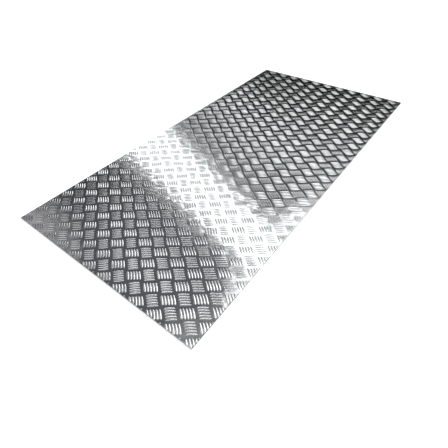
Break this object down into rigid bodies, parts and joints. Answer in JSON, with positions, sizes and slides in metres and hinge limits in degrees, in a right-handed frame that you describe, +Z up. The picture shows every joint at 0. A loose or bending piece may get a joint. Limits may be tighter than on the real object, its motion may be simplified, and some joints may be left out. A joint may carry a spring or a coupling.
{
  "type": "checker plate",
  "caption": "Rectangular aluminium checker plate: a thin flat sheet with a slip-resistant tread of short raised parallel bars in alternating groups, flat on its back.",
  "frame": {"origin": "middle of the flat back, on the surface that the sheet lies on", "axes": "+X along the sheet's length, +Y along its width, +Z up, out of the tread side"},
  "size_m": [1, 0.5, 0.0015],
  "materials": {
    "mill_aluminium": "bright mill finish, rolled tread, lightly scuffed"
  },
  "bodies": {
    "root": {"checker_plate": "mill_aluminium"}
  },
  "joints": []
}
